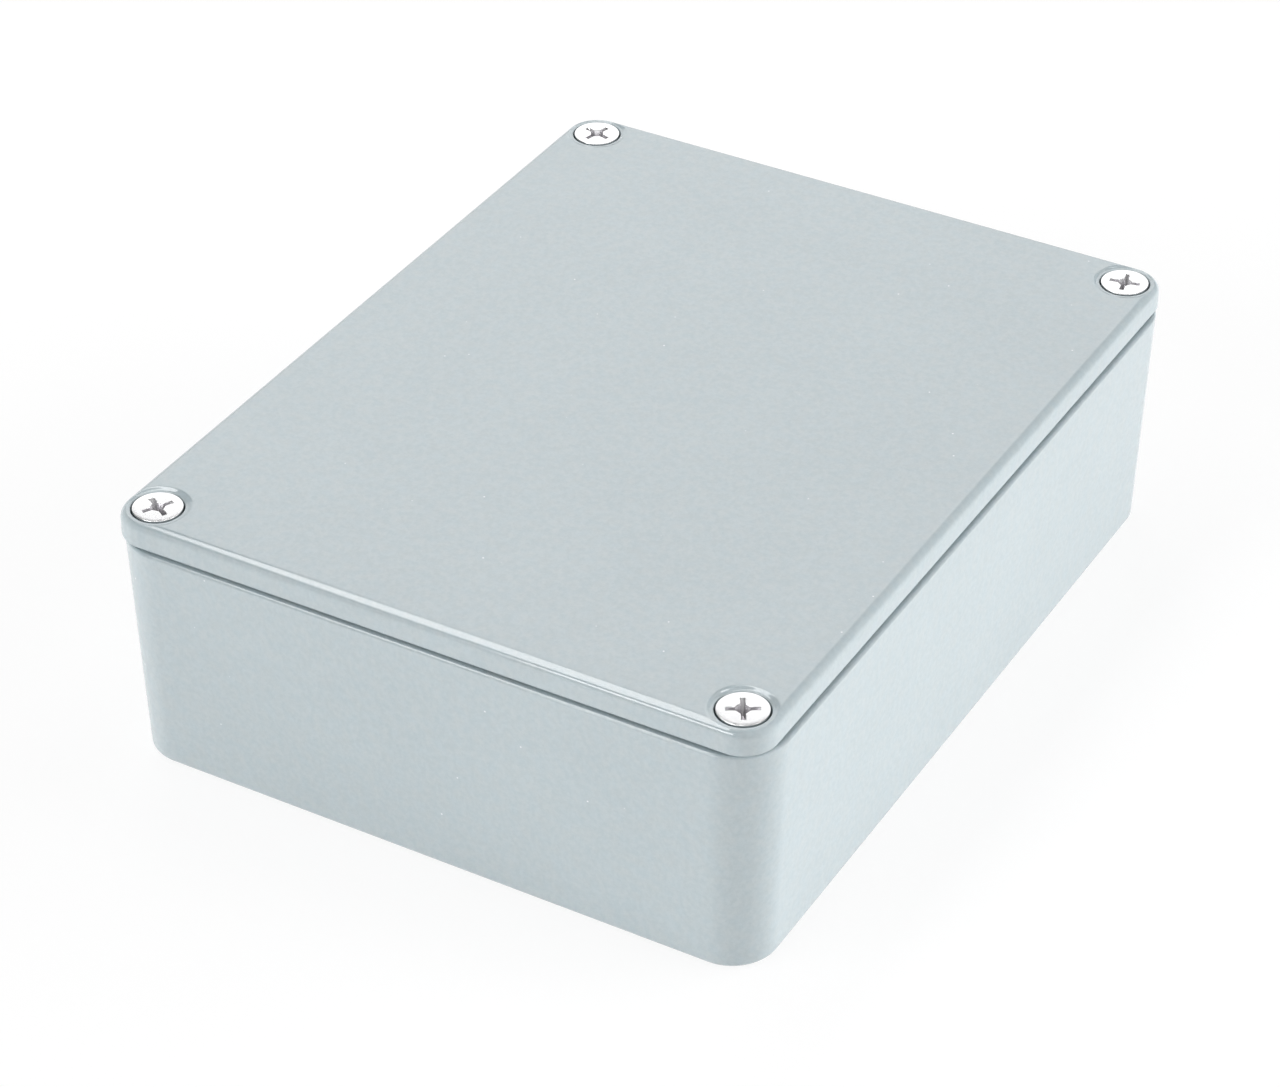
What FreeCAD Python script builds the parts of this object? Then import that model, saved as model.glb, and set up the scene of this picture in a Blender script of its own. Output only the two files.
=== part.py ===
"""Painted die cast aluminium box with a gasketed lid held by four corner screws.

Millimetres. X runs across the box, Y along it and Z up. The origin is the middle of
the underside. The base and the lid are single castings: the base carries the screw
bosses, the sealing tongue and four circuit board pillars, and the lid carries the
gasket channel, the locating spigot and the screw pockets.
"""
import FreeCAD
import Part

import math
import os

# Overall size
box_width = 94.0
box_length = 120.0
base_height = 33.6
lid_height = 3.9

# Base casting
base_corner_radius = 7.4
base_draft_deg = 1.8
underside_round = 1.0
rim_chamfer = 0.3
wall = 3.5
floor_thickness = 2.8
cavity_draft_deg = 1.5
cavity_floor_chamfer = 1.2

# Lid casting
lid_setback = 0.45
lid_corner_radius = 4.7
lid_draft_deg = 1.3
lid_top_round = 1.3
lid_lip_round = 0.9
lid_plate = 2.4

# Seal between the castings
tongue_width = 1.3
tongue_height = 1.3
channel_clearance = 0.25
gasket_side_clearance = 0.15
gasket_thickness = 0.9
spigot_width = 1.5
spigot_drop = 0.6
spigot_corner_round = 1.25

# Lid screws, M4 with a low cheese head
screw_inset = 5.25
shank_diameter = 4.0
shank_length = 12.0
shank_point = 0.3
head_diameter = 6.6
head_height = 2.2
head_chamfer = 0.2
recess_span = 4.2
recess_slot = 1.1
recess_depth = 1.7
recess_foot_span = 1.6
recess_foot_slot = 0.8

# Fits of the screws
thread_clearance = 0.05
lid_hole_clearance = 0.25
head_clearance = 0.15
head_below_top = 0.1
screw_hole_depth = 15.0

# Shallow pocket round each screw head
pocket_radius = 4.75
pocket_depth = 0.2
pocket_side_run = 0.45
seal_land = 1.05

# Circuit board pillars on the floor, tapped M3
pillar_spacing_x = 60.0
pillar_spacing_y = 84.0
pillar_height = 5.0
pillar_diameter = 6.0
pillar_hole_diameter = 2.5
pillar_hole_depth = 6.0

# Corner of each screw as signs of X and Y, and the angle at which its recess stopped
screws = {
    "front_left": (-1, -1, 60.0),
    "front_right": (1, -1, 30.0),
    "back_left": (-1, 1, 75.0),
    "back_right": (1, 1, 10.0),
}

# Levels and centres that follow from the sizes above
top_level = base_height + lid_height
half_width = box_width / 2
half_length = box_length / 2
screw_x = half_width - screw_inset
screw_y = half_length - screw_inset
head_top = top_level - head_below_top
head_seat = head_top - head_height
pocket_floor = top_level - pocket_depth
counterbore_radius = head_diameter / 2 + head_clearance
channel_floor = base_height + tongue_height + gasket_thickness
plate_underside = top_level - lid_plate

# How far each line of the seal lies inside the base's outer face at the rim
tongue_depth = wall - tongue_width
channel_depth = tongue_depth - channel_clearance
spigot_depth = wall + channel_clearance
spigot_inner_depth = spigot_depth + spigot_width

# The seal lines turn round each screw and bend back to the walls on these two radii
turn_radius_at_rim = counterbore_radius + seal_land - channel_depth
bend_radius_at_rim = spigot_corner_round + spigot_inner_depth

up = FreeCAD.Vector(0, 0, 1)
overrun = 1.0


def slope(angle_deg, height):
    """Sideways run of a drafted face over a height."""
    return height * math.tan(math.radians(angle_deg))


def polar(centre, radius, angle, z):
    """Point on a circle in a level plane."""
    x = centre[0] + radius * math.cos(angle)
    y = centre[1] + radius * math.sin(angle)
    return FreeCAD.Vector(x, y, z)


def closed_wire(arcs):
    """Join a ring of three-point arcs with straight edges between them."""
    edges = []
    for arc, following in zip(arcs, arcs[1:] + arcs[:1]):
        edges.append(Part.Arc(*arc).toShape())
        if arc[2].distanceToPoint(following[0]) > 1e-6:
            edges.append(Part.LineSegment(arc[2], following[0]).toShape())
    return Part.Wire(edges)


def mirrored_quarters(quarter):
    """Repeat the arcs of the +X +Y quarter in the other three, in one direction."""
    arcs = []
    for sign_x, sign_y in ((1, 1), (-1, 1), (-1, -1), (1, -1)):
        turned = [
            [FreeCAD.Vector(sign_x * p.x, sign_y * p.y, p.z) for p in arc]
            for arc in quarter
        ]
        if sign_x != sign_y:
            turned = [arc[::-1] for arc in turned[::-1]]
        arcs.extend(turned)
    return arcs


def rounded_outline(half_x, half_y, radius, z):
    """Rectangle with round corners."""
    centre = (half_x - radius, half_y - radius)
    angles = (0, math.pi / 4, math.pi / 2)
    corner = [polar(centre, radius, angle, z) for angle in angles]
    return closed_wire(mirrored_quarters([corner]))


def seal_outline(depth, z, draft_run=0.0):
    """Line inside the walls that passes the screws on their inner side.

    depth is how far it lies inside the base's outer face at the rim. Every such line
    shares its arc centres, so two of them stay an even distance apart. draft_run
    moves each quarter of the line towards the middle, as the draft of a wall does.
    """
    bend = bend_radius_at_rim - depth
    turn = turn_radius_at_rim + depth
    reach = bend + turn
    wall_x = half_width - bend_radius_at_rim
    wall_y = half_length - bend_radius_at_rim
    side_y = screw_y - math.sqrt(reach ** 2 - (wall_x - screw_x) ** 2)
    end_x = screw_x - math.sqrt(reach ** 2 - (wall_y - screw_y) ** 2)
    side_angle = math.atan2(screw_y - side_y, screw_x - wall_x)
    end_angle = math.atan2(screw_y - wall_y, screw_x - end_x)
    mid_angle = (side_angle + end_angle) / 2
    quarter = [
        arc_points((wall_x, side_y), bend, (0, side_angle / 2, side_angle), z),
        arc_points(
            (screw_x, screw_y),
            turn,
            (side_angle + math.pi, mid_angle + math.pi, end_angle + math.pi),
            z,
        ),
        arc_points(
            (end_x, wall_y),
            bend,
            (end_angle, (end_angle + math.pi / 2) / 2, math.pi / 2),
            z,
        ),
    ]
    step = FreeCAD.Vector(-draft_run, -draft_run, 0)
    quarter = [[point + step for point in arc] for arc in quarter]
    return closed_wire(mirrored_quarters(quarter))


def arc_points(centre, radius, angles, z):
    """Start, middle and end of an arc."""
    return [polar(centre, radius, angle, z) for angle in angles]


def seal_prism(depth, low, high):
    """Upright solid whose plan is a seal line."""
    face = Part.Face(seal_outline(depth, low))
    return face.extrude(up * (high - low))


def level_edges(shape, z):
    """Edges that lie wholly at one height."""
    found = []
    for edge in shape.Edges:
        box = edge.BoundBox
        if abs(box.ZMin - z) < 1e-4 and abs(box.ZMax - z) < 1e-4:
            found.append(edge)
    return found


def revolve(profile):
    """Solid of revolution about Z from a ring of (radius, height) points."""
    points = [FreeCAD.Vector(radius, 0, z) for radius, z in profile]
    face = Part.Face(Part.makePolygon(points + points[:1]))
    return face.revolve(FreeCAD.Vector(0, 0, 0), up, 360)


def at_screws(shape):
    """One copy of a shape on each screw axis."""
    copies = []
    for side_x, side_y, _ in screws.values():
        copies.append(shape.translated(FreeCAD.Vector(side_x * screw_x, side_y * screw_y, 0)))
    return copies


def base_blank():
    """Outer form of the base: drafted sides, round corners and edges."""
    run = slope(base_draft_deg, base_height)
    foot = rounded_outline(half_width - run, half_length - run, base_corner_radius - run, 0)
    rim = rounded_outline(half_width, half_length, base_corner_radius, base_height)
    blank = Part.makeLoft([foot, rim], True, True)
    blank = blank.makeFillet(underside_round, level_edges(blank, 0))
    return blank.makeChamfer(rim_chamfer, level_edges(blank, base_height))


def base_cavity():
    """Space inside the base, which leaves the corner bosses standing."""
    run = slope(cavity_draft_deg, base_height - floor_thickness)
    rise = slope(cavity_draft_deg, overrun)
    floor = seal_outline(wall, floor_thickness, run)
    mouth = seal_outline(wall, base_height + overrun, -rise)
    cavity = Part.makeLoft([floor, mouth], True, True)
    return cavity.makeChamfer(cavity_floor_chamfer, level_edges(cavity, floor_thickness))


def sealing_tongue():
    """Raised lip along the inner edge of the rim, which presses into the gasket."""
    top = base_height + tongue_height
    outer = seal_prism(tongue_depth, base_height - overrun, top)
    inner = seal_prism(wall, base_height - 2 * overrun, top + overrun)
    return outer.cut(inner)


def screw_hole():
    """Blind hole for one lid screw, sized over the thread's crests."""
    return Part.makeCylinder(
        shank_diameter / 2 + thread_clearance,
        screw_hole_depth,
        FreeCAD.Vector(0, 0, base_height - screw_hole_depth),
    )


def board_pillars():
    """The four pillars, and the blind holes in them."""
    top = floor_thickness + pillar_height
    pillar = Part.makeCylinder(
        pillar_diameter / 2,
        pillar_height + overrun,
        FreeCAD.Vector(0, 0, floor_thickness - overrun),
    )
    hole = Part.makeCylinder(
        pillar_hole_diameter / 2,
        pillar_hole_depth + overrun,
        FreeCAD.Vector(0, 0, top - pillar_hole_depth),
    )
    places = [
        FreeCAD.Vector(side_x * pillar_spacing_x / 2, side_y * pillar_spacing_y / 2, 0)
        for side_x in (-1, 1)
        for side_y in (-1, 1)
    ]
    return [pillar.translated(p) for p in places], [hole.translated(p) for p in places]


def make_base():
    """Base casting."""
    pillars, pillar_holes = board_pillars()
    base = base_blank().cut(base_cavity())
    base = base.fuse([sealing_tongue()] + pillars).removeSplitter()
    return base.cut(at_screws(screw_hole()) + pillar_holes)


def lid_blank():
    """Outer form of the lid: a little smaller than the rim that it sits on."""
    run = slope(lid_draft_deg, lid_height)
    half_x = half_width - lid_setback
    half_y = half_length - lid_setback
    lip = rounded_outline(half_x, half_y, lid_corner_radius, base_height)
    top = rounded_outline(half_x - run, half_y - run, lid_corner_radius - run, top_level)
    blank = Part.makeLoft([lip, top], True, True)
    blank = blank.makeFillet(lid_top_round, level_edges(blank, top_level))
    return blank.makeFillet(lid_lip_round, level_edges(blank, base_height))


def screw_pocket():
    """Cutter for one corner: pocket, counterbore and hole, turned about the screw."""
    hole_radius = shank_diameter / 2 + lid_hole_clearance
    foot_radius = pocket_radius - pocket_side_run
    below = base_height - overrun
    above = top_level + overrun
    return revolve(
        [
            (0, below),
            (hole_radius, below),
            (hole_radius, head_seat),
            (counterbore_radius, head_seat),
            (counterbore_radius, pocket_floor),
            (foot_radius, pocket_floor),
            (pocket_radius, top_level),
            (pocket_radius, above),
            (0, above),
        ]
    )


def make_lid():
    """Lid casting: solid over the screws, hollow inside the gasket channel."""
    spigot_foot = base_height - spigot_drop
    lid = lid_blank().cut(seal_prism(channel_depth, base_height - overrun, channel_floor))
    lid = lid.fuse(seal_prism(spigot_depth, spigot_foot, channel_floor)).removeSplitter()
    lid = lid.cut(seal_prism(spigot_inner_depth, spigot_foot - overrun, plate_underside))
    return lid.cut(at_screws(screw_pocket()))


def make_gasket():
    """Flat seal in the lid's channel, resting on the tongue."""
    low = base_height + tongue_height
    outer = seal_prism(channel_depth + gasket_side_clearance, low, channel_floor)
    inner = seal_prism(
        spigot_depth - gasket_side_clearance, low - overrun, channel_floor + overrun
    )
    return outer.cut(inner)


def recess_wing(angle_deg):
    """One bar of the cross recess, narrower and shorter at its foot."""
    wing = Part.makeWedge(
        -recess_foot_span / 2,
        0,
        -recess_foot_slot / 2,
        -recess_slot / 2,
        -recess_span / 2,
        recess_foot_span / 2,
        recess_depth,
        recess_foot_slot / 2,
        recess_slot / 2,
        recess_span / 2,
    )
    wing.rotate(FreeCAD.Vector(0, 0, 0), FreeCAD.Vector(1, 0, 0), 90)
    wing.rotate(FreeCAD.Vector(0, 0, 0), up, angle_deg)
    return wing.translated(up * (head_top - recess_depth))


def make_screw(side_x, side_y, angle_deg):
    """Lid screw at rest, its head on the floor of the counterbore."""
    head_radius = head_diameter / 2
    shank_radius = shank_diameter / 2
    tip = head_seat - shank_length
    blank = revolve(
        [
            (0, tip),
            (shank_radius - shank_point, tip),
            (shank_radius, tip + shank_point),
            (shank_radius, head_seat),
            (head_radius, head_seat),
            (head_radius, head_top - head_chamfer),
            (head_radius - head_chamfer, head_top),
            (0, head_top),
        ]
    )
    screw = blank.cut([recess_wing(angle_deg), recess_wing(angle_deg + 90)])
    return screw.translated(FreeCAD.Vector(side_x * screw_x, side_y * screw_y, 0))


def main():
    parts = {"base": make_base(), "lid": make_lid(), "gasket": make_gasket()}
    for corner, (side_x, side_y, angle_deg) in screws.items():
        parts["lid_screw_" + corner] = make_screw(side_x, side_y, angle_deg)
    os.makedirs("parts", exist_ok=True)
    for name, shape in parts.items():
        solid = shape.Solids[0]
        solid.exportStep("parts/" + name + ".step")
        print(name, len(shape.Solids), shape.isValid(), round(solid.Volume, 1))


main()
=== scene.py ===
"""Looks of the painted die cast box: its castings, seal, screws, floor, light and camera.

Meshes are modelled in millimetres and scaled to metres when they are finished. The
castings follow the same outlines as the solids they stand for, with their small rounds.
"""
import math

import bmesh
import bpy
from mathutils import Matrix, Vector


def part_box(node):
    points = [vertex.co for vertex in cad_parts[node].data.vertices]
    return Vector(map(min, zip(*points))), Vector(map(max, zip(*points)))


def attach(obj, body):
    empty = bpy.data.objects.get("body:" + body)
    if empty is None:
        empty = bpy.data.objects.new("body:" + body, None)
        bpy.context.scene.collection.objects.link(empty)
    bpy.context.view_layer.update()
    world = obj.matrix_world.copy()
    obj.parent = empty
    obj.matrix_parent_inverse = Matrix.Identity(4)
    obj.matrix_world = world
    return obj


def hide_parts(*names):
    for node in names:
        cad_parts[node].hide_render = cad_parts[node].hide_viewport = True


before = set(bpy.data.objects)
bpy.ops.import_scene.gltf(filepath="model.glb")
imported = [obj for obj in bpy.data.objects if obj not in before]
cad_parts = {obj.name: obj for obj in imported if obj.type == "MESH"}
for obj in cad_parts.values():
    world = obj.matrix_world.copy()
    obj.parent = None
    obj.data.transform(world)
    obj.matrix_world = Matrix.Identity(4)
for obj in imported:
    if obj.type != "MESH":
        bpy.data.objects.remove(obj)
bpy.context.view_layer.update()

MM = 0.001


def box_in_mm(node):
    """Lowest and highest corner of a node."""
    low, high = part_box(node)
    return low / MM, high / MM


base_high = box_in_mm("base")[1]
lid_low, lid_high = box_in_mm("lid")
gasket_low, gasket_high = box_in_mm("gasket")
screw_low, screw_high = box_in_mm("lid_screw_back_right")

# Overall sizes and levels, read from the frame
half_width = base_high.x
half_length = base_high.y
top_level = lid_high.z
tongue_top = base_high.z
spigot_foot = lid_low.z
channel_floor = gasket_high.z
screw_x = (screw_low.x + screw_high.x) / 2
screw_y = (screw_low.y + screw_high.y) / 2
head_top = screw_high.z
solid_head_radius = (screw_high.x - screw_low.x) / 2
screw_tip = screw_low.z

# Base casting
tongue_height = 1.3
rim_level = tongue_top - tongue_height
base_corner_radius = 7.4
base_draft = math.tan(math.radians(1.8))
underside_round = 1.0
rim_round = 0.42
wall = 3.5
floor_level = 2.8
cavity_draft = math.tan(math.radians(1.5))
cavity_floor_round = 1.5

# Lid casting
lid_corner_radius = 4.7
lid_draft = math.tan(math.radians(1.3))
lid_top_round = 1.3
lid_lip_round = 0.5
joint_gap = 0.2
joint_gap_depth = 1.4
lid_plate = 2.4
plate_underside = top_level - lid_plate

# Seal lines, as depths inside the base's outer face at the rim
tongue_width = 1.3
channel_clearance = 0.25
spigot_width = 1.5
spigot_corner_round = 1.25
tongue_depth = wall - tongue_width
channel_depth = tongue_depth - channel_clearance
spigot_depth = wall + channel_clearance
spigot_inner_depth = spigot_depth + spigot_width
gasket_side_clearance = 0.15
seal_edge_round = 0.18
gasket_edge_round = 0.2

# Screw pocket, counterbore and holes
pocket_depth = 0.2
pocket_side_run = 0.45
pocket_floor = top_level - pocket_depth
pocket_foot_radius = 3.85
pocket_side_slope = pocket_depth / pocket_side_run
pocket_foot_blend = 0.08
pocket_crest_blend = 0.06
head_inset = 0.05  # the visible head is narrower than its solid
head_side_gap = 0.2
head_height = 2.2
head_radius = solid_head_radius - head_inset
counterbore_radius = head_radius + head_side_gap
counterbore_lip_round = 0.12
head_seat = head_top - head_height
lid_hole_radius = 2.25
base_hole_radius = 2.05
base_hole_depth = 15.0
base_hole_floor = rim_level - base_hole_depth
hole_chamfer = 0.3
seal_land = 1.05

# Circuit board pillars
pillar_x = 30.0
pillar_y = 42.0
pillar_height = 5.0
pillar_top = floor_level + pillar_height
pillar_radius = 3.0
pillar_root_round = 0.5
pillar_top_round = 0.25
pillar_hole_radius = 1.25
pillar_hole_depth = 6.0
pillar_hole_floor = pillar_top - pillar_hole_depth

# Screws
shank_radius = 2.0
thread_pitch = 0.7
thread_depth = 0.4
thread_crest = 0.12
thread_flanks = 0.76
thread_runout = 0.8
hole_thread_depth = 0.2
hole_thread_turns = 9
shank_point = 0.5
shank_end_gap = 0.05
tip_ring_radius = 0.6
head_foot_round = 0.1
head_edge_round = 0.06
head_crown = 0.008
crown_aim_radius = 0.4
crown_ring_radius = 0.3
recess_span = 4.2
recess_slot = 0.62
recess_depth = 1.7
recess_foot_span = 1.5
recess_foot_slot = 0.3
recess_core_span = 1.75
recess_core_foot = 0.8
recess_edge_round = 0.05
recess_margin = 0.3

# Corner of each screw as signs of X and Y, and the angle at which its recess stopped
screws = {
    "front_left": (-1, -1, 60.0),
    "front_right": (1, -1, 30.0),
    "back_left": (-1, 1, 75.0),
    "back_right": (1, 1, 10.0),
}

# The seal lines turn round each screw and bend back to the walls on these two radii
turn_radius_at_rim = counterbore_radius + seal_land - channel_depth
bend_radius_at_rim = spigot_corner_round + spigot_inner_depth

# Narrow level strips beside the edge rounds, from which the wide level faces start
underside_strip = 2.0
rim_strip = 0.8
tongue_strip = 0.6
floor_strip = 0.5
land_strip = 0.3
plate_strip = 0.9

# Fineness of the meshes
round_steps = 8
corner_steps = 24
circle_steps = 64
straight_steps = 14
flat_steps = 12
ray_steps = 44
ray_crowding = 1.6
lip_shares = (0, 0.08, 0.3, 0.62, 1)
crown_steps = 6
hole_steps_per_pitch = 8
shank_layers_per_pitch = 10
weld_distance = 0.002
sharp_angle = math.radians(38)
recess_sharp_angle = math.radians(20)

# Middle part of a noise's range, over which looks are spread
noise_low = 0.3
noise_high = 0.7


def arc(centre, radius, start, end, steps):
    """Points on an arc, both ends included."""
    points = []
    for step in range(steps + 1):
        angle = start + (end - start) * step / steps
        x = centre[0] + radius * math.cos(angle)
        y = centre[1] + radius * math.sin(angle)
        points.append((x, y))
    return points


def mirrored(quarter):
    """Closed outline from the points of its +X +Y quarter, listed anticlockwise."""
    outline = []
    for sign_x, sign_y in ((1, 1), (-1, 1), (-1, -1), (1, -1)):
        turned = [(sign_x * x, sign_y * y) for x, y in quarter]
        outline.extend(turned if sign_x == sign_y else turned[::-1])
    return outline


def rounded_path(corners):
    """Profile through (offset, height, radius) corners, each rounded to its radius."""
    path = []
    for index, (offset, height, radius) in enumerate(corners):
        here = Vector((offset, height))
        if radius == 0:
            path.append(here)
            continue
        back = (Vector(corners[index - 1][:2]) - here).normalized()
        ahead = (Vector(corners[index + 1][:2]) - here).normalized()
        half_turn = back.angle(ahead) / 2
        middle = (back + ahead).normalized()
        centre = here + middle * (radius / math.sin(half_turn))
        swing = math.pi / 2 - half_turn
        side = -1 if back.x * ahead.y - back.y * ahead.x > 0 else 1
        for step in range(round_steps + 1):
            angle = swing * (2 * step / round_steps - 1) * side
            path.append(centre - Matrix.Rotation(angle, 2) @ middle * radius)
    return path


def base_outline(offset, height):
    """Rounded rectangle that far inside the base's outer face at the rim."""
    radius = base_corner_radius - offset
    centre = (half_width - base_corner_radius, half_length - base_corner_radius)
    return mirrored(arc(centre, radius, 0, math.pi / 2, corner_steps))


def seal_line(depth, height):
    """Line inside the walls that passes the screws on their inner side."""
    bend = bend_radius_at_rim - depth
    turn = turn_radius_at_rim + depth
    reach = bend + turn
    wall_x = half_width - bend_radius_at_rim
    wall_y = half_length - bend_radius_at_rim
    side_y = screw_y - math.sqrt(reach ** 2 - (wall_x - screw_x) ** 2)
    end_x = screw_x - math.sqrt(reach ** 2 - (wall_y - screw_y) ** 2)
    side_angle = math.atan2(screw_y - side_y, screw_x - wall_x)
    end_angle = math.atan2(screw_y - wall_y, screw_x - end_x)
    turn_start = side_angle + math.pi
    turn_end = end_angle + math.pi
    quarter = arc((wall_x, side_y), bend, 0, side_angle, round_steps)
    quarter += arc((screw_x, screw_y), turn, turn_start, turn_end, corner_steps)[1:-1]
    quarter += arc((end_x, wall_y), bend, end_angle, math.pi / 2, round_steps)
    drafted = cavity_draft * max(0, rim_level - height)
    return mirrored([(x - drafted, y - drafted) for x, y in quarter])


def plain_seal_line(depth, height):
    """The same line for the lid and the gasket, whose walls are upright."""
    return seal_line(depth, rim_level)


def add_ring(bm, points, height):
    return [bm.verts.new((x, y, height)) for x, y in points]


def add_band(bm, first, second):
    """Closed strip of faces between two rings."""
    for index, vert in enumerate(first):
        before = index - 1
        bm.faces.new((first[before], vert, second[index], second[before]))


def add_strip(bm, first, second):
    """Open strip of faces between two rows."""
    for index in range(len(first) - 1):
        bm.faces.new((first[index], first[index + 1], second[index + 1], second[index]))


def sweep(bm, outline, path):
    """Rings of one outline along a profile, and the faces between them."""
    rings = [add_ring(bm, outline(offset, height), height) for offset, height in path]
    for first, second in zip(rings, rings[1:]):
        add_band(bm, first, second)
    return rings[0], rings[-1]


def turned(bm, centre, path, angles):
    """Rings of circles about an upright axis along a (radius, height) profile."""
    rings = []
    for radius, height in path:
        points = [
            (centre[0] + radius * math.cos(a), centre[1] + radius * math.sin(a))
            for a in angles
        ]
        rings.append(add_ring(bm, points, height))
    for first, second in zip(rings, rings[1:]):
        add_band(bm, first, second)
    return rings[0], rings[-1]


def even_angles(count):
    return [2 * math.pi * step / count for step in range(count)]


def fill(bm, *rings):
    """Level faces inside the first ring and outside the others."""
    edges = []
    for ring in rings:
        for index, vert in enumerate(ring):
            pair = (ring[index - 1], vert)
            edges.append(bm.edges.get(pair) or bm.edges.new(pair))
    bmesh.ops.triangle_fill(bm, use_beauty=True, use_dissolve=False, edges=edges)


def corner_signs():
    return [(sign_x, sign_y) for sign_x in (-1, 1) for sign_y in (-1, 1)]


def finish_piece(bm, name, body, material, replaced):
    """Turn a closed millimetre mesh into a smooth shaded piece that rides on a body."""
    bmesh.ops.recalc_face_normals(bm, faces=bm.faces)
    mesh = bpy.data.meshes.new(name)
    bm.to_mesh(mesh)
    bm.free()
    return add_piece(mesh, name, body, material, replaced)


def add_piece(mesh, name, body, material, replaced, place=Matrix()):
    mesh.transform(Matrix.Scale(MM, 4))
    mesh.shade_smooth()
    mesh.set_sharp_from_angle(angle=sharp_angle)
    mesh.materials.append(material)
    piece = bpy.data.objects.new(name, mesh)
    bpy.context.scene.collection.objects.link(piece)
    piece.matrix_world = place
    weighted = piece.modifiers.new("even shading", "WEIGHTED_NORMAL")
    weighted.keep_sharp = True
    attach(piece, body)
    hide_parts(replaced)
    return piece


def build_base(paint):
    """Base casting: drafted walls, sealing tongue, screw bosses and board pillars."""
    bm = bmesh.new()
    foot_run = base_draft * rim_level
    outer_path = rounded_path(
        [
            (foot_run + underside_strip, 0, 0),
            (foot_run, 0, underside_round),
            (0, rim_level, rim_round),
            (rim_strip, rim_level, 0),
        ]
    )
    underside, rim_outer = sweep(bm, base_outline, outer_path)
    fill(bm, underside)
    inner_path = rounded_path(
        [
            (tongue_depth - tongue_strip, rim_level, 0),
            (tongue_depth, rim_level, seal_edge_round),
            (tongue_depth, tongue_top, seal_edge_round),
            (wall, tongue_top, seal_edge_round),
            (wall, floor_level, cavity_floor_round),
            (wall + cavity_floor_round + floor_strip, floor_level, 0),
        ]
    )
    rim_inner, floor_ring = sweep(bm, seal_line, inner_path)
    screw_mouths = [base_screw_hole(bm, *signs) for signs in corner_signs()]
    fill(bm, rim_outer, rim_inner, *screw_mouths)
    pillar_roots = [board_pillar(bm, *signs) for signs in corner_signs()]
    fill(bm, floor_ring, *pillar_roots)
    finish_piece(bm, "base_casting", "base", paint, "base")


def base_screw_hole(bm, sign_x, sign_y):
    """Blind tapped hole with a chamfered mouth; returns its ring on the rim."""
    path = [
        (base_hole_radius + hole_chamfer, rim_level),
        (base_hole_radius, rim_level - hole_chamfer),
    ]
    for step in range(1, hole_thread_turns * hole_steps_per_pitch):
        turns = step / hole_steps_per_pitch
        groove = hole_thread_depth * abs(2 * (turns % 1) - 1)
        height = rim_level - hole_chamfer - turns * thread_pitch
        path.append((base_hole_radius + groove, height))
    path.append((base_hole_radius, base_hole_floor))
    centre = (sign_x * screw_x, sign_y * screw_y)
    mouth, bottom = turned(bm, centre, path, even_angles(circle_steps))
    fill(bm, bottom)
    return mouth


def board_pillar(bm, sign_x, sign_y):
    """Pillar with a blind hole; returns its ring on the floor."""
    path = rounded_path(
        [
            (pillar_radius + 2 * pillar_root_round, floor_level, 0),
            (pillar_radius, floor_level, pillar_root_round),
            (pillar_radius, pillar_top, pillar_top_round),
            (pillar_hole_radius, pillar_top, pillar_top_round / 2),
            (pillar_hole_radius, pillar_hole_floor, 0),
        ]
    )
    centre = (sign_x * pillar_x, sign_y * pillar_y)
    root, bottom = turned(bm, centre, path, even_angles(circle_steps))
    fill(bm, bottom)
    return root


# Outline of the lid where its top round meets its side, and the top's corner regions
lid_half_x = lid_high.x - lid_draft * (top_level - lid_top_round - rim_level)
lid_half_y = lid_high.y - lid_draft * (top_level - lid_top_round - rim_level)
region_reach = 6.6
region_x = screw_x - region_reach
region_y = screw_y - region_reach


def lid_quarter(offset):
    """+X +Y quarter of a line that far outside the lid's outline below its top round."""
    radius = lid_corner_radius + offset
    centre_x = lid_half_x - lid_corner_radius
    centre_y = lid_half_y - lid_corner_radius
    quarter = []
    for step in range(straight_steps):
        y = region_y + (centre_y - region_y) * step / straight_steps
        quarter.append((lid_half_x + offset, y))
    quarter += arc((centre_x, centre_y), radius, 0, math.pi / 2, corner_steps)
    for step in range(straight_steps):
        x = centre_x + (region_x - centre_x) * (step + 1) / straight_steps
        quarter.append((x, lid_half_y + offset))
    return quarter


def lid_outline(offset, height):
    return mirrored(lid_quarter(-offset))


def round_height(inset):
    """Height of the lid's top that far inside the outline below its top round."""
    if inset >= lid_top_round:
        return top_level
    drop = lid_top_round - inset
    return top_level - lid_top_round + math.sqrt(max(0, lid_top_round ** 2 - drop ** 2))


def lid_inset(x, y):
    """Distance inside the outline below the top round, for a point in the +X +Y quarter."""
    side_x = x - (lid_half_x - lid_corner_radius)
    side_y = y - (lid_half_y - lid_corner_radius)
    outside = math.hypot(max(side_x, 0), max(side_y, 0)) + min(max(side_x, side_y), 0)
    return lid_corner_radius - outside


def soft_lower(first, second, blend):
    """Lower of two heights, with the crease between them rounded."""
    overlap = max(blend - abs(first - second), 0) / blend
    return min(first, second) - overlap ** 2 * blend / 4


def top_height(x, y):
    """Height of the lid's top in the +X +Y quarter, with the screw's pocket in it."""
    distance = math.hypot(x - screw_x, y - screw_y)
    rise = distance - pocket_foot_radius
    rise = (rise + math.sqrt(rise ** 2 + pocket_foot_blend ** 2)) / 2
    pocket = pocket_floor + pocket_side_slope * rise
    height = soft_lower(round_height(lid_inset(x, y)), pocket, pocket_crest_blend)
    lip = distance - counterbore_radius
    if lip < counterbore_lip_round:
        drop = counterbore_lip_round - max(lip, 0)
        height -= counterbore_lip_round
        height += math.sqrt(max(0, counterbore_lip_round ** 2 - drop ** 2))
    return height


def round_insets():
    """Insets of the rows of points across the lid's top round, from its flat top down."""
    angles = [math.pi / 2 * step / round_steps / 2 for step in range(2 * round_steps + 1)]
    return [lid_top_round * (1 - math.sin(angle)) for angle in angles]


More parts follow.
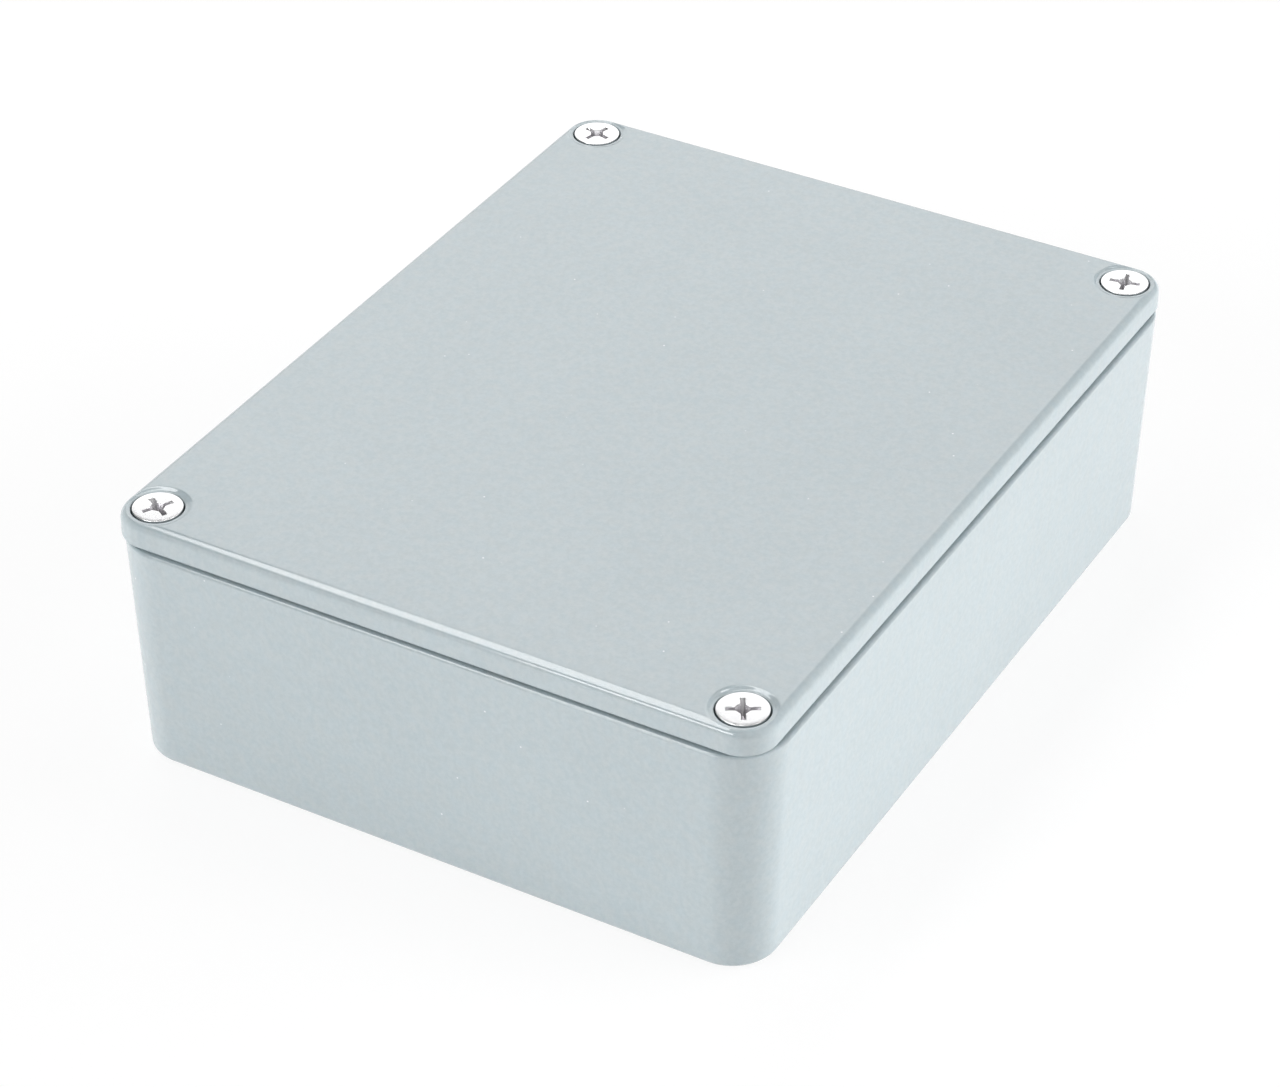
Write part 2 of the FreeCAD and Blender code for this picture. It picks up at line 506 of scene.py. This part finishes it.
def region_border():
    """Border of a corner region, anticlockwise from its inner corner."""
    insets = round_insets()
    flat_x = lid_half_x - lid_top_round
    flat_y = lid_half_y - lid_top_round
    border = []
    for step in range(flat_steps):
        border.append((region_x + (flat_x - region_x) * step / flat_steps, region_y))
    border += [(lid_half_x - inset, region_y) for inset in insets[:-1]]
    border += lid_quarter(0)
    border += [(region_x, lid_half_y - inset) for inset in insets[-2::-1]]
    for step in range(1, flat_steps):
        border.append((region_x, flat_y + (region_y - flat_y) * step / flat_steps))
    return border


def lid_corner(bm, sign_x, sign_y):
    """One corner of the lid's top, as rays from the counterbore to the region's border."""
    border = region_border()
    rays = []
    for end_x, end_y in border:
        reach = math.hypot(end_x - screw_x, end_y - screw_y)
        unit_x = (end_x - screw_x) / reach
        unit_y = (end_y - screw_y) / reach
        lip_end = counterbore_radius + counterbore_lip_round
        stops = [counterbore_radius + counterbore_lip_round * share for share in lip_shares]
        for step in range(1, ray_steps + 1):
            share = step / ray_steps
            stops.append(lip_end + (reach - lip_end) * (1 - (1 - share) ** ray_crowding))
        ray = []
        for stop in stops:
            x = screw_x + unit_x * stop
            y = screw_y + unit_y * stop
            ray.append(bm.verts.new((sign_x * x, sign_y * y, top_height(x, y))))
        rays.append(ray)
    for index, ray in enumerate(rays):
        add_strip(bm, rays[index - 1], ray)
    angles = [
        math.atan2(sign_y * (y - screw_y), sign_x * (x - screw_x)) for x, y in border
    ]
    counterbore = [ray[0] for ray in rays]
    edge = [ray[-1] for ray in rays]
    return counterbore, edge, angles


def lid_screw_hole(bm, counterbore, sign_x, sign_y, angles):
    """Counterbore and screw hole under one corner; returns the ring on the land."""
    centre = (sign_x * screw_x, sign_y * screw_y)
    path = [
        (counterbore_radius, pocket_floor - 2 * counterbore_lip_round),
        (counterbore_radius, head_seat),
        (lid_hole_radius, head_seat),
        (lid_hole_radius, rim_level + hole_chamfer / 2),
        (lid_hole_radius + hole_chamfer / 2, rim_level),
    ]
    upper, lower = turned(bm, centre, path, angles)
    add_band(bm, counterbore, upper)
    return lower


def region_parts(edge):
    """Split a region's border into its two flat sides, its two rounds and its outline."""
    rows = 2 * round_steps
    outline_count = len(lid_quarter(0))
    first_round = edge[flat_steps:flat_steps + rows + 1]
    outline = edge[flat_steps + rows:flat_steps + rows + outline_count]
    start = flat_steps + rows + outline_count - 1
    second_round = edge[start:start + rows + 1]
    flat = edge[start + rows:] + edge[:flat_steps + 1]
    return first_round, outline, second_round[::-1], flat


def build_lid(paint):
    """Lid casting: round top edge, screw pockets, gasket channel and spigot."""
    bm = bmesh.new()
    corners = {}
    hole_rings = []
    for signs in corner_signs():
        counterbore, edge, angles = lid_corner(bm, *signs)
        corners[signs] = region_parts(edge)
        hole_rings.append(lid_screw_hole(bm, counterbore, *signs, angles))
    for sign in (-1, 1):
        add_strip(bm, corners[(sign, 1)][0], corners[(sign, -1)][0])
        add_strip(bm, corners[(1, sign)][2], corners[(-1, sign)][2])
    top = []
    outline = []
    for signs in ((1, 1), (-1, 1), (-1, -1), (1, -1)):
        _, side, _, flat = corners[signs]
        forward = signs[0] == signs[1]
        outline += side if forward else side[::-1]
        top += flat[::-1] if forward else flat
    fill(bm, top)
    build_lid_side(bm, outline, hole_rings)
    finish_piece(bm, "lid_casting", "lid", paint, "lid")


def build_lid_side(bm, outline, hole_rings):
    """Lid below its top round: side, lip, land, gasket channel, spigot and underside."""
    lip_offset = lid_half_x - lid_high.x
    side_path = rounded_path(
        [
            (0, top_level - lid_top_round, 0),
            (lip_offset, rim_level + joint_gap, lid_lip_round),
            (lip_offset + joint_gap_depth, rim_level + joint_gap, 0),
            (lip_offset + joint_gap_depth, rim_level, 0),
        ]
    )
    upper, land_outer = sweep(bm, lid_outline, side_path[1:])
    add_band(bm, outline, upper)
    channel_path = rounded_path(
        [
            (channel_depth - land_strip, rim_level, 0),
            (channel_depth, rim_level, seal_edge_round),
            (channel_depth, channel_floor, seal_edge_round),
            (spigot_depth, channel_floor, seal_edge_round),
            (spigot_depth, spigot_foot, 2 * seal_edge_round),
            (spigot_inner_depth, spigot_foot, 2 * seal_edge_round),
            (spigot_inner_depth, plate_underside, 2 * seal_edge_round),
            (spigot_inner_depth + plate_strip, plate_underside, 0),
        ]
    )
    land_inner, plate = sweep(bm, plain_seal_line, channel_path)
    fill(bm, land_outer, land_inner, *hole_rings)
    fill(bm, plate)


def build_gasket(rubber):
    """Flat rubber seal with soft edges."""
    bm = bmesh.new()
    outer = channel_depth + gasket_side_clearance
    inner = spigot_depth - gasket_side_clearance
    low = gasket_low.z
    high = gasket_high.z
    path = rounded_path(
        [
            ((outer + inner) / 2, low, 0),
            (outer, low, gasket_edge_round),
            (outer, high, gasket_edge_round),
            (inner, high, gasket_edge_round),
            (inner, low, gasket_edge_round),
            ((outer + inner) / 2, low, 0),
        ]
    )
    first, last = sweep(bm, plain_seal_line, path)
    bmesh.ops.weld_verts(bm, targetmap=dict(zip(last, first)))
    finish_piece(bm, "gasket_seal", "lid", rubber, "gasket")


def thread_radius(height, angle):
    """Radius of the threaded shank, with a helical groove that runs out at both ends."""
    turn = (height / thread_pitch - angle / (2 * math.pi)) % 1
    groove = min(1, max(0, (abs(2 * turn - 1) - thread_crest) / thread_flanks))
    low_end = (height - screw_tip) / thread_runout
    high_end = (head_seat - height) / thread_runout
    fade = min(1, max(0, min(low_end, high_end)))
    return shank_radius - thread_depth * groove * fade


def screw_blank():
    """Closed mesh of one screw about the Z axis, before its recess is cut."""
    bm = bmesh.new()
    angles = even_angles(circle_steps)
    rings = []
    for radius in (tip_ring_radius, shank_radius - shank_point):
        rings.append(add_ring(bm, circle(radius, angles), screw_tip))
    height = screw_tip + shank_point
    while height < head_seat - shank_end_gap:
        points = [
            (thread_radius(height, a) * math.cos(a), thread_radius(height, a) * math.sin(a))
            for a in angles
        ]
        rings.append(add_ring(bm, points, height))
        height += thread_pitch / shank_layers_per_pitch
    head_path = rounded_path(
        [
            (shank_radius, head_seat, 0),
            (head_radius, head_seat, head_foot_round),
            (head_radius, head_top - head_crown, head_edge_round),
            (crown_aim_radius, head_top, 0),
        ]
    )
    crown_start = head_path[-2]
    for step in range(1, crown_steps):
        share = step / crown_steps
        radius = crown_start.x * (1 - share)
        rise = (head_top - crown_start.y) * (1 - (1 - share) ** 2)
        head_path.insert(-1, Vector((radius, crown_start.y + rise)))
    head_path[-1] = Vector((crown_ring_radius, head_top))
    for radius, level in head_path:
        rings.append(add_ring(bm, circle(radius, angles), level))
    for first, second in zip(rings, rings[1:]):
        add_band(bm, first, second)
    fill(bm, rings[0])
    fill(bm, rings[-1])
    bmesh.ops.recalc_face_normals(bm, faces=bm.faces)
    return bm


def circle(radius, angles):
    return [(radius * math.cos(a), radius * math.sin(a)) for a in angles]


def recess_tool(span, slot, foot_span, foot_slot, angle):
    """Tapered bar that cuts one part of the recess."""
    bm = bmesh.new()
    growth = 1 + recess_margin / recess_depth
    levels = (
        (head_top - recess_depth, foot_span, foot_slot),
        (
            head_top + recess_margin,
            foot_span + (span - foot_span) * growth,
            foot_slot + (slot - foot_slot) * growth,
        ),
    )
    rings = []
    for level, long_side, short_side in levels:
        corners = ((1, 1), (-1, 1), (-1, -1), (1, -1))
        points = [(x * long_side / 2, y * short_side / 2) for x, y in corners]
        rings.append(add_ring(bm, points, level))
    add_band(bm, *rings)
    bm.faces.new(rings[0])
    bm.faces.new(rings[1])
    bmesh.ops.recalc_face_normals(bm, faces=bm.faces)
    swing = Matrix.Rotation(math.radians(angle), 3, "Z")
    bmesh.ops.rotate(bm, verts=bm.verts, matrix=swing)
    return bm


def object_from(bm, name):
    mesh = bpy.data.meshes.new(name)
    bm.to_mesh(mesh)
    bm.free()
    made = bpy.data.objects.new(name, mesh)
    bpy.context.scene.collection.objects.link(made)
    return made


def screw_mesh():
    """Mesh of one screw about the Z axis, with its cross recess."""
    blank = object_from(screw_blank(), "screw blank")
    bar = (recess_span, recess_slot, recess_foot_span, recess_foot_slot)
    core = (recess_core_span, recess_core_span, recess_core_foot, recess_core_foot)
    cutters = [recess_tool(*bar, 0), recess_tool(*bar, 90), recess_tool(*core, 45)]
    tools = [object_from(cutter, "recess tool") for cutter in cutters]
    for tool in tools:
        cut = blank.modifiers.new("recess", "BOOLEAN")
        cut.operation = "DIFFERENCE"
        cut.solver = "EXACT"
        cut.object = tool
    graph = bpy.context.evaluated_depsgraph_get()
    cut_mesh = bpy.data.meshes.new_from_object(blank.evaluated_get(graph))
    for item in [blank] + tools:
        bpy.data.objects.remove(item)
    bm = bmesh.new()
    bm.from_mesh(cut_mesh)
    bmesh.ops.remove_doubles(bm, verts=bm.verts, dist=weld_distance)
    round_recess(bm)
    bm.to_mesh(cut_mesh)
    bm.free()
    return cut_mesh


def round_recess(bm):
    """Soften the edges that the recess left in the head."""
    limit = recess_span / 2 + recess_margin
    floor = head_top - recess_depth - 5 * weld_distance
    chosen = []
    for edge in bm.edges:
        inside = all(
            vert.co.z > floor and math.hypot(vert.co.x, vert.co.y) < limit
            for vert in edge.verts
        )
        if not inside or len(edge.link_faces) != 2:
            continue
        if edge.calc_face_angle() > recess_sharp_angle:
            chosen.append(edge)
    bmesh.ops.bevel(
        bm,
        geom=chosen,
        offset=recess_edge_round,
        offset_type="OFFSET",
        segments=2,
        profile=0.5,
        affect="EDGES",
        clamp_overlap=True,
    )


def build_screws(steel):
    """The four lid screws, each turned to where its recess stopped."""
    master = screw_mesh()
    for corner, (sign_x, sign_y, angle) in screws.items():
        axis = Vector((sign_x * screw_x, sign_y * screw_y, 0)) * MM
        place = Matrix.Translation(axis) @ Matrix.Rotation(math.radians(angle), 4, "Z")
        name = "screw_" + corner
        add_piece(master.copy(), name, name, steel, "lid_" + name, place)


def new_material(name):
    material = bpy.data.materials.new(name)
    material.use_nodes = True
    nodes = material.node_tree.nodes
    return material, nodes, material.node_tree.links, nodes["Principled BSDF"]


def object_place(nodes):
    """Coordinates that are fixed to the object, in metres."""
    place = nodes.get("place") or nodes.new("ShaderNodeTexCoord")
    place.name = "place"
    return place.outputs["Object"]


def object_noise(nodes, links, scale, detail=2.0, roughness=0.5):
    noise = nodes.new("ShaderNodeTexNoise")
    noise.inputs["Scale"].default_value = scale
    noise.inputs["Detail"].default_value = detail
    noise.inputs["Roughness"].default_value = roughness
    links.new(object_place(nodes), noise.inputs["Vector"])
    return noise.outputs["Fac"]


def ranged(nodes, links, source, source_low, source_high, low, high):
    """Map a value from one range to another, held at both ends."""
    node = nodes.new("ShaderNodeMapRange")
    node.inputs["From Min"].default_value = source_low
    node.inputs["From Max"].default_value = source_high
    node.inputs["To Min"].default_value = low
    node.inputs["To Max"].default_value = high
    links.new(source, node.inputs["Value"])
    return node.outputs["Result"]


def spread(nodes, links, noise, low, high):
    """Values from low to high over the middle part of a noise."""
    return ranged(nodes, links, noise, noise_low, noise_high, low, high)


def combined(nodes, links, operation, first, second):
    """Result of a sum on two values; the second may be a plain number."""
    node = nodes.new("ShaderNodeMath")
    node.operation = operation
    links.new(first, node.inputs[0])
    if isinstance(second, (int, float)):
        node.inputs[1].default_value = second
    else:
        links.new(second, node.inputs[1])
    return node.outputs["Value"]


def tinted(nodes, links, share, first, second):
    """Blend of two colours."""
    node = nodes.new("ShaderNodeMix")
    node.data_type = "RGBA"
    for socket, colour in (("A", first), ("B", second)):
        if isinstance(colour, tuple):
            node.inputs[socket].default_value = colour + (1,)
        else:
            links.new(colour, node.inputs[socket])
    links.new(share, node.inputs["Factor"])
    return node.outputs["Result"]


def bumped(nodes, links, height, distance, strength, below=None):
    node = nodes.new("ShaderNodeBump")
    node.inputs["Distance"].default_value = distance
    node.inputs["Strength"].default_value = strength
    links.new(height, node.inputs["Height"])
    if below is not None:
        links.new(below, node.inputs["Normal"])
    return node.outputs["Normal"]


def seen_or_mirrored(nodes, links):
    """1 for camera and glossy rays, which show the white background, and 0 for others."""
    path = nodes.new("ShaderNodeLightPath")
    camera_ray = path.outputs["Is Camera Ray"]
    return combined(nodes, links, "MAXIMUM", camera_ray, path.outputs["Is Glossy Ray"])


def paint_specks(nodes, links):
    """Share of white for the paint's few dust specks, about 0.1 mm in radius."""
    cells_per_metre = 420
    speck_core = 0.03
    speck_edge = 0.07
    kept_share = 0.2
    cells = nodes.new("ShaderNodeTexVoronoi")
    cells.inputs["Scale"].default_value = cells_per_metre
    links.new(object_place(nodes), cells.inputs["Vector"])
    near = ranged(nodes, links, cells.outputs["Distance"], speck_core, speck_edge, 1, 0)
    pick = nodes.new("ShaderNodeSeparateColor")
    links.new(cells.outputs["Color"], pick.inputs["Color"])
    chosen = combined(nodes, links, "GREATER_THAN", pick.outputs["Red"], 1 - kept_share)
    return combined(nodes, links, "MULTIPLY", near, chosen)


def paint_material():
    """Blue-grey semi-gloss powder coat: faint mottling, dust specks and orange peel."""
    material, nodes, links, shader = new_material("casting_paint")
    clouds = object_noise(nodes, links, scale=45, detail=3.0, roughness=0.6)
    mottle = object_noise(nodes, links, scale=1400, detail=3.0, roughness=0.75)
    grain = object_noise(nodes, links, scale=3200, roughness=0.6)
    warmth = spread(nodes, links, object_noise(nodes, links, scale=700), 0, 1)
    pale = ranged(nodes, links, mottle, 0.36, 0.64, 0, 0.7)
    pale = combined(nodes, links, "ADD", pale, spread(nodes, links, clouds, 0, 0.3))
    dark_paint = tinted(nodes, links, warmth, (0.454, 0.535, 0.568), (0.472, 0.536, 0.556))
    pale_paint = tinted(nodes, links, warmth, (0.510, 0.599, 0.636), (0.530, 0.600, 0.620))
    paint = tinted(nodes, links, pale, dark_paint, pale_paint)
    colour = tinted(nodes, links, paint_specks(nodes, links), paint, (0.85, 0.88, 0.9))
    links.new(colour, shader.inputs["Base Color"])
    shader.inputs["Specular IOR Level"].default_value = 1.0
    shader.inputs["IOR"].default_value = 1.6
    links.new(spread(nodes, links, mottle, 0.08, 0.10), shader.inputs["Roughness"])
    fine = bumped(nodes, links, grain, distance=0.00001, strength=0.1)
    peel = object_noise(nodes, links, scale=500, detail=1.0)
    skin = bumped(nodes, links, peel, distance=0.00003, strength=0.04, below=fine)
    links.new(skin, shader.inputs["Normal"])
    return material


def rubber_material():
    """Matt black sealing rubber with a faint bloom."""
    material, nodes, links, shader = new_material("gasket_rubber")
    bloom = object_noise(nodes, links, scale=400, detail=3.0)
    share = spread(nodes, links, bloom, 0, 1)
    colour = tinted(nodes, links, share, (0.026, 0.026, 0.028), (0.036, 0.036, 0.038))
    links.new(colour, shader.inputs["Base Color"])
    links.new(spread(nodes, links, bloom, 0.62, 0.78), shader.inputs["Roughness"])
    grain = object_noise(nodes, links, scale=3000)
    skin = bumped(nodes, links, grain, distance=0.00002, strength=0.4)
    links.new(skin, shader.inputs["Normal"])
    return material


def distance_from_axis(nodes, links):
    """Distance of a point from the object's own Z axis, and its height, in metres."""
    axes = nodes.new("ShaderNodeSeparateXYZ")
    links.new(object_place(nodes), axes.inputs["Vector"])
    square_x = combined(nodes, links, "POWER", axes.outputs["X"], 2.0)
    square_y = combined(nodes, links, "POWER", axes.outputs["Y"], 2.0)
    total = combined(nodes, links, "ADD", square_x, square_y)
    return combined(nodes, links, "SQRT", total, 0.0), axes.outputs["Z"]


def steel_recess(nodes, links, radius, height):
    """1 inside a head's recess, below its edge, and 0 on the rest of the screw."""
    top = head_top * MM
    seat = head_seat * MM
    reach = 2.3 * MM
    fade = 0.1 * MM
    edge_start = 0.05 * MM
    edge_end = 0.3 * MM
    inner = ranged(nodes, links, radius, reach, reach + fade, 1, 0)
    above = ranged(nodes, links, height, seat - fade, seat, 0, 1)
    below = ranged(nodes, links, height, top - edge_end, top - edge_start, 1, 0)
    recess = combined(nodes, links, "MULTIPLY", inner, above)
    return combined(nodes, links, "MULTIPLY", recess, below)


def steel_material():
    """Bright zinc plated steel: faint turning marks, and in the recess duller plating with
    painted shade that darkens with depth.
    """
    mark_spacing = 0.12 * MM
    # Levels between which the painted shade in the recess runs from dark to pale
    shade_deep_level = (head_top - 1.6) * MM
    shade_shallow_level = (head_top - 0.2) * MM
    material, nodes, links, shader = new_material("screw_steel")
    radius, height = distance_from_axis(nodes, links)
    recess = steel_recess(nodes, links, radius, height)
    plating = object_noise(nodes, links, scale=1500, detail=3.0)
    cloud = spread(nodes, links, plating, 0, 1)
    bright = tinted(nodes, links, cloud, (0.86, 0.86, 0.87), (0.92, 0.92, 0.92))
    # Painted shade in the recess: pale near the head's top, going to dark grey with depth
    depth = ranged(nodes, links, height, shade_deep_level, shade_shallow_level, 0, 1)
    recess_painted_shade = tinted(nodes, links, depth, (0.50, 0.485, 0.50), (0.94, 0.93, 0.95))
    colour = tinted(nodes, links, recess, bright, recess_painted_shade)
    links.new(colour, shader.inputs["Base Color"])
    links.new(ranged(nodes, links, recess, 0, 1, 1.0, 0.75), shader.inputs["Metallic"])
    links.new(spread(nodes, links, plating, 0.14, 0.22), shader.inputs["Roughness"])
    rings = combined(nodes, links, "MULTIPLY", radius, 2 * math.pi / mark_spacing)
    marks = combined(nodes, links, "SINE", rings, 0.0)
    fine = bumped(nodes, links, marks, distance=0.000001, strength=0.3)
    skin = bumped(nodes, links, plating, distance=0.000004, strength=0.15, below=fine)
    links.new(skin, shader.inputs["Normal"])
    return material


def floor_material():
    """Near white floor that keeps a soft shadow of the object."""
    glow_share = 0.8
    material, nodes, links, shader = new_material("floor")
    shader.inputs["Base Color"].default_value = (0.93, 0.93, 0.93, 1)
    shader.inputs["Roughness"].default_value = 0.9
    shader.inputs["Specular IOR Level"].default_value = 0.0
    glow = nodes.new("ShaderNodeEmission")
    glow.inputs["Strength"].default_value = 1.06
    shown = seen_or_mirrored(nodes, links)
    blend = nodes.new("ShaderNodeMixShader")
    links.new(combined(nodes, links, "MULTIPLY", shown, glow_share), blend.inputs["Fac"])
    links.new(shader.outputs["BSDF"], blend.inputs[1])
    links.new(glow.outputs["Emission"], blend.inputs[2])
    links.new(blend.outputs["Shader"], nodes["Material Output"].inputs["Surface"])
    return material


def build_floor():
    mesh = bpy.data.meshes.new("floor")
    reach = 3.0
    signs = ((-1, -1), (1, -1), (1, 1), (-1, 1))
    corners = [(sign_x * reach, sign_y * reach, 0) for sign_x, sign_y in signs]
    mesh.from_pydata(corners, [], [(0, 1, 2, 3)])
    mesh.materials.append(floor_material())
    floor = bpy.data.objects.new("floor", mesh)
    bpy.context.scene.collection.objects.link(floor)


def facing(nodes, links, directions, way, strength):
    """Light that grows from 0 to a strength as a direction nears the given way."""
    start = 0.75
    turn = nodes.new("ShaderNodeVectorMath")
    turn.operation = "DOT_PRODUCT"
    links.new(directions, turn.inputs[0])
    turn.inputs[1].default_value = Vector(way).normalized()
    return ranged(nodes, links, turn.outputs["Value"], start, 1, 0, strength)


def build_world():
    """Soft light from two sides; white to the camera and patterned in reflections."""
    world = bpy.data.worlds.new("studio")
    bpy.context.scene.world = world
    world.use_nodes = True
    nodes = world.node_tree.nodes
    links = world.node_tree.links
    place = nodes.new("ShaderNodeTexCoord")
    directions = place.outputs["Generated"]
    ambient = nodes["Background"]
    ambient.inputs["Color"].default_value = (1, 1, 1, 1)
    least = 0.02
    left_front = facing(nodes, links, directions, (-0.60, -0.80, 0.0), 4.5)
    right = facing(nodes, links, directions, (0.84, 0.54, 0.0), 8.1)
    sides = combined(nodes, links, "ADD", left_front, right)
    links.new(combined(nodes, links, "ADD", sides, least), ambient.inputs["Strength"])
    shown = nodes.new("ShaderNodeBackground")
    path = nodes.new("ShaderNodeLightPath")
    walls = reflected_walls(nodes, links, directions)
    strength = combined(nodes, links, "MAXIMUM", path.outputs["Is Camera Ray"], walls)
    links.new(strength, shown.inputs["Strength"])
    blend = nodes.new("ShaderNodeMixShader")
    links.new(seen_or_mirrored(nodes, links), blend.inputs["Fac"])
    links.new(ambient.outputs["Background"], blend.inputs[1])
    links.new(shown.outputs["Background"], blend.inputs[2])
    links.new(blend.outputs["Shader"], nodes["World Output"].inputs["Surface"])


def reflected_walls(nodes, links, directions):
    """Brightness of the walls in reflections, with a dark band below the ceiling."""
    side_change = (-0.20, 0.02)
    back_change = (0.15, 0.45)
    wall_top = (0.745, 0.775)
    ceiling_edge = (0.82, 0.94)
    pale = 0.6
    white = 1.0
    grey = 0.15
    dark = 0.05
    wall_top_slant = 0.33
    axes = nodes.new("ShaderNodeSeparateXYZ")
    links.new(directions, axes.inputs["Vector"])
    across = axes.outputs["X"]
    up = axes.outputs["Z"]
    change = ranged(nodes, links, across, *side_change, white - pale, grey - pale)
    backward = ranged(nodes, links, axes.outputs["Y"], *back_change, 0, 1)
    change = combined(nodes, links, "MULTIPLY", change, backward)
    wall = combined(nodes, links, "ADD", change, pale)
    slant = combined(nodes, links, "MULTIPLY", across, wall_top_slant)
    edge = combined(nodes, links, "SUBTRACT", up, slant)
    below = ranged(nodes, links, edge, *wall_top, 1, 0)
    wall = combined(nodes, links, "MULTIPLY", wall, below)
    ceiling = ranged(nodes, links, up, *ceiling_edge, dark, pale)
    return combined(nodes, links, "MAXIMUM", wall, ceiling)


def soft_box(name, direction, distance, width, length, power, along=(1, 0, 0)):
    """Rectangular soft light that faces the object; its width runs along the given way."""
    light = bpy.data.lights.new(name, "AREA")
    light.shape = "RECTANGLE"
    light.size = width
    light.size_y = length
    light.energy = power
    lamp = bpy.data.objects.new(name, light)
    way = Vector(direction).normalized()
    across = Vector(along)
    across = (across - way * way.dot(across)).normalized()
    axes = Matrix((across, way.cross(across), way)).transposed().to_4x4()
    lamp.matrix_world = Matrix.Translation(way * distance) @ axes
    bpy.context.scene.collection.objects.link(lamp)


def build_lights():
    """Five soft lamps, each by its direction, distance, width, length and power."""
    soft_box("overhead strip", (-0.39, 0.02, 0.92), 1.6, 0.50, 2.10, 10.5)
    soft_box("front strip", (-0.185, -0.830, 0.525), 1.46, 0.66, 0.32, 2.7)
    soft_box("right soft box", (0.25, 0.33, 0.91), 1.6, 0.46, 0.42, 1.9)
    soft_box("side soft box", (0.92, 0.16, 0.32), 1.6, 1.10, 0.80, 1.6, (0, 1, 0))
    soft_box("back card", (-0.42, 0.77, 0.50), 1.6, 1.30, 0.75, 1.8)


def build_camera():
    """Long lens at the photograph's angle."""
    azimuth = math.radians(29.705)
    elevation = math.radians(35.3385)
    roll = math.radians(-0.0246)
    distance = 0.53137
    aim = Vector((-0.00548, 0.00376, 0.00843))
    back = Vector(
        (
            math.sin(azimuth) * math.cos(elevation),
            -math.cos(azimuth) * math.cos(elevation),
            math.sin(elevation),
        )
    )
    right = Vector((math.cos(azimuth), math.sin(azimuth), 0))
    up = back.cross(right)
    turned_right = math.cos(roll) * right + math.sin(roll) * up
    turned_up = math.cos(roll) * up - math.sin(roll) * right
    camera = bpy.data.cameras.new("camera")
    camera.sensor_width = 36.0
    camera.lens = 109.39
    camera.clip_start = 0.01
    camera.clip_end = 20.0
    eye = bpy.data.objects.new("camera", camera)
    axes = Matrix((turned_right, turned_up, back)).transposed().to_4x4()
    eye.matrix_world = Matrix.Translation(aim + back * distance) @ axes
    bpy.context.scene.collection.objects.link(eye)
    bpy.context.scene.camera = eye


paint = paint_material()
build_base(paint)
build_lid(paint)
build_gasket(rubber_material())
build_screws(steel_material())
build_floor()
build_world()
build_lights()
build_camera()
bpy.context.scene.view_settings.view_transform = "Standard"
